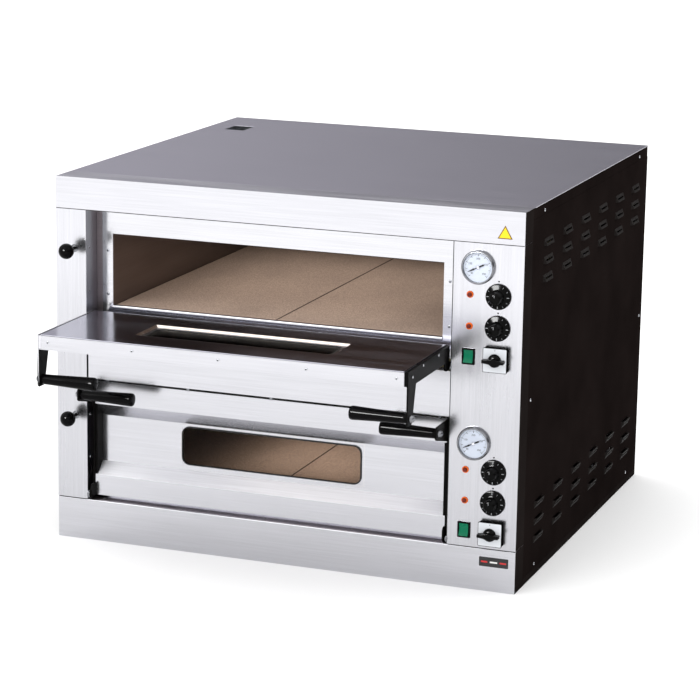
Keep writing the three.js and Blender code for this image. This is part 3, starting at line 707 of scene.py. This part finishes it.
def make_dial(deck):
    """Cased thermometer: bezel, printed face, domed pane and the pointer that rides on the needle."""
    case, needle = f"{deck}_dial_case", f"{deck}_dial_needle"
    centre = on_front(case)
    first, sweep = 225, 270
    bm = bmesh.new()
    lathe(bm, [(27.6, 0.2), (32.6, 0.3), (33, 1.2), (33, 5.2), (32.4, 7.4), (31, 8.8), (29.8, 9),
               (28.9, 8.4), (28.5, 6.8), (28.3, 4.4)], centre, OUT, 72)
    lathe(bm, [(29, 4.3), (0, 4.2)], centre, OUT, 72, 1)
    lathe(bm, [(27.5, 0.2), (27.5, -24), (26, -26), (0, -26)], centre, OUT, 48, 2)
    piece(f"{deck}_dial_body", bm, [BEZEL, DIAL_WHITE, MOULDED], "casing",
          stands_for=[case])
    marks = bmesh.new()
    face = centre + OUT * (4.35 * MM)
    for i in range(41):
        inner, half_width = (23.5, 0.22) if i % 5 else (21.5, 0.45)
        tick(marks, face, first - sweep * i / 40, inner, 26, half_width, 0.12)
    piece(f"{deck}_dial_ticks", marks, MARK_BLACK, "casing")
    for i in range(0, 9, 2):
        text = bpy.data.curves.new(f"{deck}_dial_number_{i}", "FONT")
        text.body = str(i * 50 + 50)
        text.size = 5.2 * MM
        text.extrude = 0.05 * MM
        text.align_x, text.align_y = "CENTER", "CENTER"
        text.materials.append(MARK_BLACK)
        number = bpy.data.objects.new(f"{deck}_dial_number_{i}", text)
        number.location = face + spoke(first - sweep * i / 8) * (16.8 * MM)
        number.rotation_euler = (math.pi / 2, 0, 0)
        bpy.context.scene.collection.objects.link(number)
        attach(number, "casing")
    pane = bmesh.new()
    lathe(pane, [(28.6, 7.2), (20, 7.9), (0, 8.2)], centre, OUT, 48)
    piece(f"{deck}_dial_pane", pane, DIAL_GLASS, "casing")
    pointer = bmesh.new()
    along = spoke(206)
    wide = Y.cross(along)
    top = centre + OUT * (5.6 * MM)
    blade = [(-13, 1.5), (-5, 1.5), (-3, 0.8), (7, 0.8), (9, 1.7), (22, 0.35)]
    outline = [top + along * (a * MM) + wide * (b * MM) for a, b in blade]
    outline += [top + along * (a * MM) - wide * (b * MM) for a, b in reversed(blade)]
    prism(pointer, outline, OUT * (0.5 * MM))
    lathe(pointer, [(3.1, 0), (3.1, 0.9), (2.2, 1.5), (0, 1.6)], top, OUT, 24, 1)
    piece(f"{deck}_pointer", pointer, [MARK_BLACK, CHROME], f"{deck}_needle",
          stands_for=[needle])


def make_heat_knob(deck, heat):
    """Skirted thermostat knob with printed marks, and the index dot above it."""
    node = f"{deck}_{heat}_heat_knob"
    centre = on_front(node)
    bm = bmesh.new()
    lathe(bm, [(3, -13), (3, 1), (24.4, 1.1), (25, 1.8), (25, 3.4), (24.4, 4.6), (22.6, 5.4),
               (16, 6.6), (14.2, 7.4), (13, 9.4), (11.8, 24), (11, 26.4), (9.2, 28.2), (6.6, 29),
               (0, 29.2)], centre, OUT, 56)
    skirt, tip = centre + OUT * (5.9 * MM), centre + OUT * (28.9 * MM)
    for i in range(11):
        inner, half_width = (19.5, 0.3) if i % 3 else (17, 0.6)
        tick(bm, skirt, 90 - 30 * i, inner, 22.4, half_width, 0.35, 1)
    prism(bm, facing(((-0.4, 3), (0.4, 3), (0.4, 7), (-0.4, 7)), tip), OUT * (0.3 * MM), 1)
    piece(f"{deck}_{heat}_knob_body", bm, [MOULDED, MARK_GREY], f"{deck}_{heat}_knob",
          stands_for=[node])
    dot = bmesh.new()
    lathe(dot, [(1.7, 0), (1.7, 0.15), (0, 0.2)], centre + Z * (29.5 * MM), OUT, 20)
    piece(f"{deck}_{heat}_index_dot", dot, MARK_BLACK, "casing")


def make_heat_lamp(deck, heat):
    """Domed orange lens in a brighter rim."""
    node = f"{deck}_{heat}_heat_lamp"
    place = on_front(node)
    lens = bmesh.new()
    lathe(lens, [(5, -20), (5, 0.3), (6.8, 0.3), (6.8, 1.2), (4.6, 2.6)], place, OUT, 32, 1)
    lathe(lens, [(4.6, 2.5), (4.5, 4.2), (4.0, 5.6), (3.0, 6.5), (1.6, 7), (0, 7.1)], place, OUT, 32)
    piece(f"{deck}_{heat}_lamp_lens", lens, [ORANGE, AMBER], "casing",
          stands_for=[node])


def make_rocker(deck):
    """Bezel in the casing and a dished key that stands tilted to its off side."""
    node = f"{deck}_light_rocker"
    centre = on_front(node)
    bezel = bmesh.new()
    outer, inner = rounded(26, 32, 1.6), rounded(19.4, 26, 0.8)
    rings = [[bezel.verts.new(p) for p in facing(pairs, centre + OUT * (depth * MM))]
             for pairs, depth in ((outer, 0.2), (outer, 2.2), (inner, 2.8), (inner, -10))]
    join_loops(bezel, rings, (0, 0, 0))
    piece(f"{deck}_rocker_bezel", bezel, MOULDED, "casing", 0.2)
    key = bmesh.new()
    half_width, half_height, proud, dish, back = 9.2, 12.4, 5.2, 3.4, ((-9, 8), (-9, -8))
    line = []
    for i in range(13):
        up = -half_height + 2 * half_height * i / 12
        line.append((proud - dish * (1 - (up / half_height) ** 2), up))
    line += back
    tilt = Matrix.Rotation(math.radians(-7), 3, "X")
    outline = [centre + tilt @ Vector((-half_width * MM, -a * MM, b * MM)) for a, b in line]
    prism(key, outline, X * (2 * half_width * MM))
    piece(f"{deck}_rocker_key", key, GREEN, f"{deck}_rocker", 0.5, 50,
          stands_for=[node])


def make_cam_switch(deck):
    """Square plate on its box, with two marks, and a winged handle on a domed boss."""
    plate, lever = f"{deck}_main_switch_plate", f"{deck}_main_switch_lever"
    centre = on_front(plate)
    bm = bmesh.new()
    for side, radius, start, depth, slot in ((46.4, 1.5, 0.4, 11.4, 0), (48, 2, 11.6, 2.2, 0),
                                             (46, 1.6, 13.7, 0.3, 1), (42, 1, -2, -46, 0)):
        outline = facing(rounded(side, side, radius), centre + OUT * (start * MM))
        prism(bm, outline, OUT * (depth * MM), slot)
    for degrees in (90, 0):
        tick(bm, centre + OUT * (13.95 * MM), degrees, 18.5, 21.5, 0.5, 0.08)
    piece(f"{deck}_switch_body", bm, [MATT_BLACK, PALE], "casing", 0.25,
          stands_for=[plate])
    handle = bmesh.new()
    lathe(handle, [(3.4, -10), (3.4, 14.2), (12.8, 14.3), (13.2, 15), (12.8, 17.6), (10.8, 20.2),
                   (7, 22.4), (0, 23.2)], centre, OUT, 40)
    wing = []
    for i in range(33):
        reach = -1 + 2 * i / 32
        wing.append((21.6 * reach, 3.4 + 3.2 * (1 - abs(reach)) ** 2))
    outline = wing + [(a, -b) for a, b in reversed(wing)]
    prism(handle, facing(outline, centre + OUT * (18.4 * MM)), OUT * (12 * MM))
    piece(f"{deck}_switch_lever", handle, MOULDED, f"{deck}_lever", 1.0, 50,
          stands_for=[lever])


def make_vent_knob(deck):
    """Ball on a collar over the CAD slide's rod and damper plate."""
    node = f"{deck}_vent_slide"
    dress(node, GRIP)
    corner = low(node) + Vector((1, 1, 0)) * (VENT_RADIUS * MM)
    centre = Vector((corner.x, corner.y, DECK_BASE[deck] + VENT_HEIGHT * MM))
    bm = bmesh.new()
    profile = [(5.8, -(VENT_RADIUS + 3.4)), (5.8, -13.6)]
    radius = VENT_RADIUS + 0.15
    for i in range(19):
        angle = math.radians(-66 + 156 * i / 18)
        profile.append((radius * math.cos(angle), radius * math.sin(angle)))
    lathe(bm, profile, centre, OUT, 48)
    piece(f"{deck}_vent_ball", bm, GRIP, f"{deck}_vent")
    collar = bmesh.new()
    lathe(collar, [(4.2, 0.1), (8.2, 0.2), (8.2, 1.0), (5.9, 1.6)],
          Vector((centre.x, FRONT, centre.z)), OUT, 32)
    piece(f"{deck}_vent_bush", collar, BEZEL, "casing")


def make_controls():
    for deck in DECKS:
        make_dial(deck)
        for heat in ("top", "bottom"):
            make_heat_knob(deck, heat)
            make_heat_lamp(deck, heat)
        make_rocker(deck)
        make_cam_switch(deck)
        make_vent_knob(deck)


# ---------------------------------------------------------------- doors

def make_grips(deck):
    """Turned handles that stand inward from the arms, with domed nuts outside them."""
    for side, inward, start in (("left", X, low), ("right", -X, high)):
        node = f"{deck}_door_{side}_grip"
        centre = middle(node)
        root = Vector((start(node).x, centre.y, centre.z)) + inward * (12 * MM)
        bm = bmesh.new()
        lathe(bm, [(0, 0), (9.2, 0.1), (9.9, 1.4), (10.1, 8), (10.4, 20), (11.2, 48), (12.4, 82),
                   (13.1, 101), (13.4, 108), (13.2, 111.6), (12, 114), (9.8, 114.9), (0, 114.9)],
              root, inward, 48)
        lathe(bm, [(4, 0), (4, -3.4), (7.3, -3.6), (7.4, -5.6), (6.7, -7.2), (6.2, -9), (4.9, -10.8),
                   (2.6, -11.8), (0, -12)], root, inward, 32, 1)
        piece(f"{node}_turned", bm, [GRIP, BEZEL], f"{deck}_door",
              stands_for=[node])


def make_door_screws(deck):
    """A row along the door's edge, and three through each cheek."""
    pivot, out, up = door_frame(deck)
    left, right = low(f"{deck}_door_outer_skin").x, high(f"{deck}_door_outer_skin").x
    edge = pivot + up * (DOOR_TOP * MM)
    row = [left + (right - left) * (0.026 + 0.237 * i) for i in range(5)]
    places = [Vector((x, 0, 0)) + yz(edge - out * (DOOR_MIDDLE * MM)) for x in row]
    screws(f"{deck}_door_edge_screws", places, up, f"{deck}_door", 3.0)
    for side, sign in (("left", -1), ("right", 1)):
        cheek = f"{deck}_door_{side}_cheek"
        face = low(cheek).x + 14 * MM if side == "left" else high(cheek).x - 14 * MM
        spots = [(-33.5, 63), (-33.5, 152), (-24, 212)]
        places = [Vector((face, 0, 0)) + yz(pivot + out * (a * MM) + up * (b * MM)) for a, b in spots]
        screws(f"{deck}_door_{side}_cheek_screws", places, X * sign, f"{deck}_door", 2.8)


def make_window(deck):
    """Pane in a black gasket on the outer skin, and a sloping frame that leads to it inside, whose rim
    and slope are in painted light.
    """
    pivot, out, up = door_frame(deck)
    glass = f"{deck}_door_glass"
    across_x = (low(glass).x + high(glass).x) / 2

    def at(behind):
        return Vector((across_x, 0, 0)) + yz(pivot + up * (WINDOW_HEIGHT * MM) - out * (behind * MM))

    pane = bmesh.new()
    prism(pane, facing(rounded(384, 77, 15), at(33.5), X, up), out * (2.6 * MM))
    piece(f"{deck}_door_pane", pane, GLASS, f"{deck}_door", stands_for=[glass])
    gasket = bmesh.new()
    ring(gasket, (387.6, 80.6, 16.8), (382.6, 75.6, 14.4), at(35), out * (4.4 * MM), X, up)
    piece(f"{deck}_door_gasket", gasket, SEAL_AND_PAINTED_SHADE, f"{deck}_door", 0.6)
    slope = bmesh.new()
    loops = [[slope.verts.new(p) for p in facing(rounded(*size), at(behind), X, up)]
             for size, behind in (((411, 99, 2), 39.1), ((409, 97.5, 2), 39.1), ((397, 86, 2), 33.8),
                                  ((386, 77, 2), 33.6))]
    join_loops(slope, loops, (0, 0, 1))
    piece(f"{deck}_door_window_frame", slope, [WARM_LIT_STEEL, STEEL_X], f"{deck}_door",
          degrees=20)


def make_hinge_washers(deck):
    """Washers on the jambs, round the hinge studs."""
    pivot = HINGE[f"{deck}_door"]
    for side, inward, jamb in (("left", X, high("left_stile").x), ("right", -X, low("control_panel").x)):
        bm = bmesh.new()
        start = Vector((jamb, pivot.y, pivot.z))
        lathe(bm, [(4.7, 0.2), (9, 0.2), (9, 2.8), (8, 4.6), (4.7, 4.8)], start, inward, 32)
        piece(f"{deck}_{side}_hinge_washer", bm, BEZEL, "casing")


def make_doors():
    for deck in DECKS:
        make_grips(deck)
        make_door_screws(deck)
        make_window(deck)
        make_hinge_washers(deck)


# ---------------------------------------------------------------- casing details

def make_casing_screws():
    """Screws on the side panels, the rear, the ledge, and inside each deck's recess."""
    for side, sign in (("left", -1), ("right", 1)):
        face = (high("side_panel_right").x - LOUVRE_PROUD * MM) * sign
        for level, depth_mm, rows in (("upper", 0.8, ((-336, 735), (394, 735))),
                                      ("middle", 0, ((-397, 373), (443, 372))),
                                      ("lower", 0, ((-336, 25), (378, 27)))):
            places = [Vector((face - sign * depth_mm * MM, y * MM, z * MM)) for y, z in rows]
            screws(f"side_{side}_{level}_screws", places, X * sign, "casing", 3.3)
    rear = high("rear_panel").y
    places = [Vector((x, rear, z)) for x in (-0.46, -0.15, 0.15, 0.46) for z in (0.03, 0.735)]
    places += [Vector((x, rear, 0.38)) for x in (-0.46, 0.46)]
    screws("rear_screws", places, Y, "casing", 3.6)
    ledge = high("front_bottom_band").z
    places = [Vector((x, FRONT + 14 * MM, ledge)) for x in (-0.393, -0.215, -0.037, 0.143, 0.32)]
    screws("ledge_screws", places, Z, "casing", 2.2)
    for deck in DECKS:
        base = DECK_BASE[deck]
        places = [Vector((x, FRONT + FRAME_SETBACK * MM, base + h * MM)) for x, h in
                  ((-0.3985, 166), (-0.3985, 76.5), (0.328, 164.5), (0.328, 75.6))]
        screws(f"{deck}_frame_screws", places, OUT, "casing", 3.0)
        jamb = high("left_stile").x
        places = [Vector((jamb, FRONT + 14 * MM, base + h * MM)) for h in (176, 87)]
        screws(f"{deck}_jamb_screws", places, X, "casing", 2.8)


def make_seam_clips():
    """Small clips in the joint between the lower recess and the middle fascia."""
    bm = bmesh.new()
    seam = low("middle_fascia").z
    for x in (-377, -201, -22, 329):
        prism(bm, [Vector((x * MM + a * MM, FRONT + 3 * MM, seam + b * MM)) for a, b in
                   ((-3, -6), (3, -6), (3, -0.4), (-3, -0.4))], OUT * (1.6 * MM))
    piece("seam_clips", bm, BEZEL, "casing", 0.3)


def make_rear_screen():
    """Dark sheet close behind the rear panel's row of slots, put there as painted shade so the inside
    stays dark through the slots.
    """
    inner = low("rear_panel").y
    left, right, foot, top = 0.362, 0.458, 0.552, 0.686
    bm = bmesh.new()
    plank(bm, (left, inner - 3.2 * MM, foot), (right, inner - 2.2 * MM, top))
    piece("rear_slot_shade_screen", bm, MATT_BLACK, "casing")


def make_plates():
    """A plain dark plate with three plain bars, and a plain triangle."""
    plate = bmesh.new()
    centre = Vector((0.4465, FRONT, 0.0595))
    thickness = OUT * (0.6 * MM)
    prism(plate, facing(rounded(59, 19, 1.5), centre), thickness)
    for shift, width, slot in ((-19, 13, 1), (0, 15, 2), (19, 13, 1)):
        bar = centre + X * (shift * MM) + thickness
        prism(plate, facing(rounded(width, 3.2, 0.6), bar), OUT * (0.12 * MM), slot)
    piece("rating_plate", plate, [MARK_BLACK, RED, MARK_WHITE], "casing")
    sign = bmesh.new()
    corners = ((-14.85, -8.6), (14.85, -8.6), (0, 17.1))
    inner = [(a * 0.78, b * 0.78) for a, b in corners]
    at = Vector((0.4505, FRONT, 0.7054))
    prism(sign, facing(corners, at + OUT * (0.1 * MM)), OUT * (0.25 * MM))
    prism(sign, facing(inner, at + OUT * (0.35 * MM)), OUT * (0.08 * MM), 1)
    piece("warning_triangle", sign, [BROWN, YELLOW], "casing")


def make_seams():
    """Painted shadow lines in the narrow gaps between the fascia's sheets, and dark joints between the
    two stones of each deck.
    """
    bm = bmesh.new()
    # Dark strips in the fascia's gaps: painted shadow.
    near, far = FRONT - 0.12 * MM, FRONT + 1 * MM
    left, right = low("front_top_band").x, high("front_top_band").x
    column, stile = low("control_panel").x, high("left_stile").x
    for z, spans in ((low("front_top_band").z, ((left, right),)),
                     (high("front_bottom_band").z, ((left, stile), (column, right)))):
        for x0, x1 in spans:
            plank(bm, (x0 + MM, near, z - 1.1 * MM), (x1 - MM, far, z + 0.4 * MM))
    plank(bm, (column - 1.6 * MM, near, high("front_bottom_band").z),
          (column - 0.1 * MM, far, low("front_top_band").z))
    piece("fascia_shadow_lines", bm, SEAL_AND_PAINTED_SHADE, "casing")
    for deck in DECKS:
        joint = bmesh.new()
        one, two = high(f"{deck}_left_stone"), low(f"{deck}_right_stone")
        plank(joint, (one.x - MM, two.y + 2 * MM, one.z - 2 * MM),
              (two.x + MM, one.y - 2 * MM, one.z + 0.15 * MM))
        piece(f"{deck}_stone_joint", joint, STONE_JOINT, "casing")


def make_frame_flanges():
    """Sheet steel that closes the recess beside each chamber frame, coloured with painted shade."""
    for deck in DECKS:
        node = f"{deck}_chamber_frame"
        lo, hi = low(node), high(node)
        y = FRONT + FRAME_SETBACK * MM
        bm = bmesh.new()
        plank(bm, (high("left_stile").x + 0.4 * MM, y, lo.z), (lo.x - 0.2 * MM, y + 1.2 * MM, hi.z))
        plank(bm, (hi.x + 0.2 * MM, y, lo.z), (low("control_panel").x - 0.4 * MM, y + 1.2 * MM, hi.z))
        piece(f"{deck}_frame_flanges", bm, SHADED_STEEL, "casing")


def make_outlet_trim():
    """Folded lining just inside the outlet's edges."""
    outlet_y, rim_z, depth = 0.307, 0.7495, 0.024
    bm = bmesh.new()
    centre = Vector((middle("flue_duct").x, outlet_y, rim_z))
    ring(bm, (45.6, 63.6, 0.8), (44, 62, 0.5), centre, -Z * depth, X, Y)
    piece("flue_outlet_lining", bm, ZINC_BRIGHT, "casing")


make_controls()
make_doors()
make_casing_screws()
make_seam_clips()
make_rear_screen()
make_plates()
make_outlet_trim()
make_seams()
make_frame_flanges()
make_glint()
